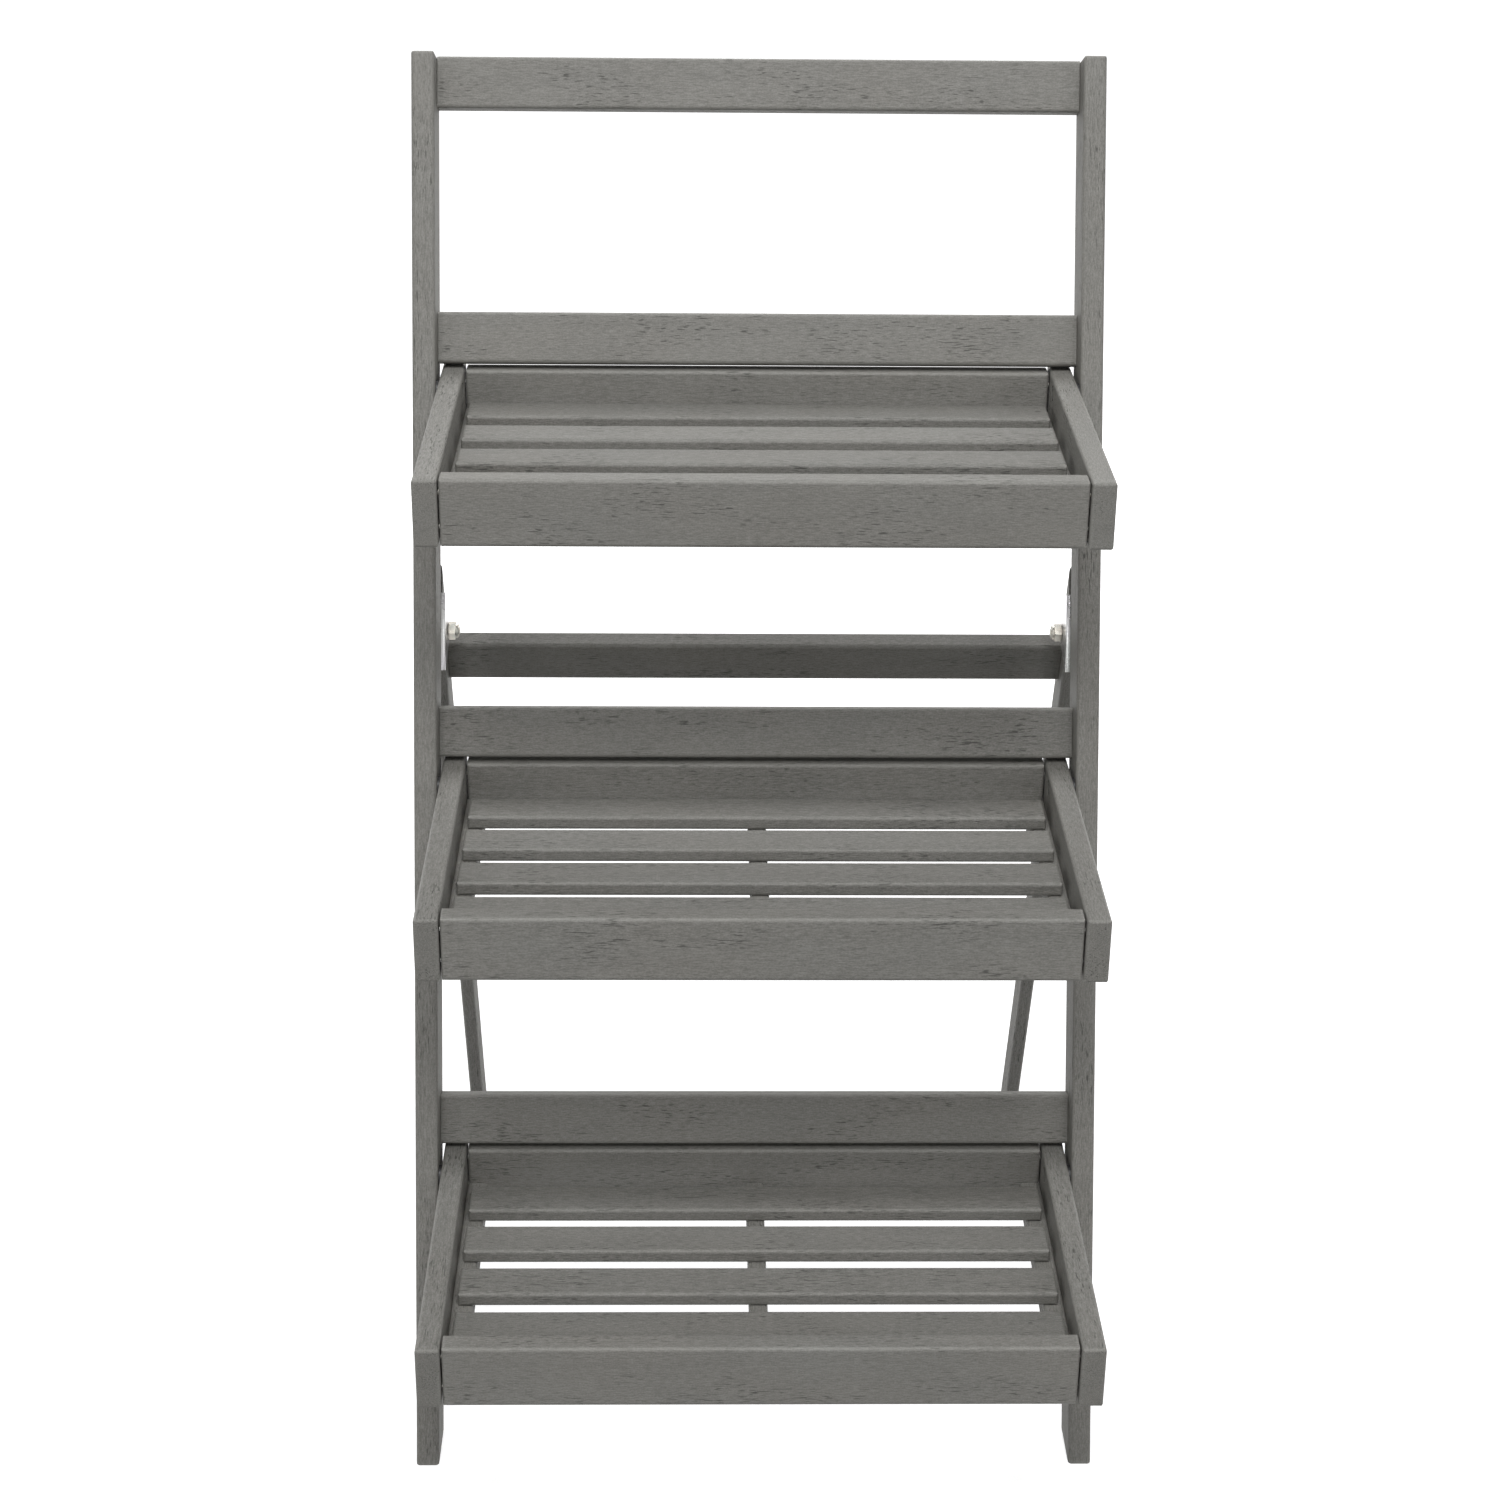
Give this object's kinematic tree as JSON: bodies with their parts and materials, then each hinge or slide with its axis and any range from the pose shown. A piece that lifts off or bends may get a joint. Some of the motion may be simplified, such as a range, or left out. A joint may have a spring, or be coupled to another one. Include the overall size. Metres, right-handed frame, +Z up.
{
  "type": "plant ladder stand",
  "caption": "Folding ladder stand for potted plants: a leaning wooden ladder with slatted trays that fold up against it, propped by a hinged rear frame.",
  "frame": {"origin": "on the floor, at the middle of the stand's outline when it stands open", "axes": "+X across the stand to the right as seen from the front, +Y from the front to the back, +Z up"},
  "size_m": [0.54, 0.703, 1.0402],
  "materials": {
    "grey_wood": "grey stain, satin, with a fine brushed grain along each board",
    "zinc_steel": "bright zinc plating",
    "black_nylon": "black nylon",
    "zinc_screw": "dull zinc plating"
  },
  "bodies": {
    "front_ladder": {"left_front_leg": "grey_wood", "right_front_leg": "grey_wood", "top_crossrail": "grey_wood", "upper_crossrail": "grey_wood", "middle_crossrail": "grey_wood", "lower_crossrail": "grey_wood", "crossrail_screws": "zinc_screw", "left_hinge_bracket": "zinc_steel", "right_hinge_bracket": "zinc_steel", "bracket_screws": "zinc_screw", "hinge_bolts": "zinc_steel", "hinge_nuts": "zinc_steel", "tray_pivot_bolts": "zinc_steel", "tray_pivot_washers": "black_nylon", "tray_pivot_nuts": "zinc_steel"},
    "rear_frame": {"left_rear_leg": "grey_wood", "right_rear_leg": "grey_wood", "upper_rear_crossrail": "grey_wood", "lower_rear_crossrail": "grey_wood", "rear_crossrail_screws": "zinc_screw"},
    "top_tray": {"top_tray_left_side_rail": "grey_wood", "top_tray_right_side_rail": "grey_wood", "top_tray_front_rail": "grey_wood", "top_tray_back_rail": "grey_wood", "top_tray_slat_1": "grey_wood", "top_tray_slat_2": "grey_wood", "top_tray_slat_3": "grey_wood", "top_tray_slat_4": "grey_wood", "top_tray_left_cleat": "grey_wood", "top_tray_right_cleat": "grey_wood", "top_tray_batten": "grey_wood", "top_tray_rail_screws": "zinc_screw", "top_tray_slat_screws": "zinc_screw"},
    "middle_tray": {"middle_tray_left_side_rail": "grey_wood", "middle_tray_right_side_rail": "grey_wood", "middle_tray_front_rail": "grey_wood", "middle_tray_back_rail": "grey_wood", "middle_tray_slat_1": "grey_wood", "middle_tray_slat_2": "grey_wood", "middle_tray_slat_3": "grey_wood", "middle_tray_slat_4": "grey_wood", "middle_tray_left_cleat": "grey_wood", "middle_tray_right_cleat": "grey_wood", "middle_tray_batten": "grey_wood", "middle_tray_rail_screws": "zinc_screw", "middle_tray_slat_screws": "zinc_screw"},
    "bottom_tray": {"bottom_tray_left_side_rail": "grey_wood", "bottom_tray_right_side_rail": "grey_wood", "bottom_tray_front_rail": "grey_wood", "bottom_tray_back_rail": "grey_wood", "bottom_tray_slat_1": "grey_wood", "bottom_tray_slat_2": "grey_wood", "bottom_tray_slat_3": "grey_wood", "bottom_tray_slat_4": "grey_wood", "bottom_tray_left_cleat": "grey_wood", "bottom_tray_right_cleat": "grey_wood", "bottom_tray_batten": "grey_wood", "bottom_tray_rail_screws": "zinc_screw", "bottom_tray_slat_screws": "zinc_screw"}
  },
  "joints": [
    {"name": "rear_frame_fold", "type": "hinge", "parent": "front_ladder", "child": "rear_frame", "pos_m": [0, 0.10497, 0.59467], "axis": [-1, 0, 0], "range_deg": [0, 42]},
    {"name": "top_tray_fold", "type": "hinge", "parent": "front_ladder", "child": "top_tray", "pos_m": [0, 0.11501, 0.79383], "axis": [-1, 0, 0], "range_deg": [0, 111]},
    {"name": "middle_tray_fold", "type": "hinge", "parent": "front_ladder", "child": "middle_tray", "pos_m": [0, 0.00356, 0.50349], "axis": [-1, 0, 0], "range_deg": [0, 111]},
    {"name": "bottom_tray_fold", "type": "hinge", "parent": "front_ladder", "child": "bottom_tray", "pos_m": [0, -0.10789, 0.21315], "axis": [-1, 0, 0], "range_deg": [0, 111]}
  ]
}
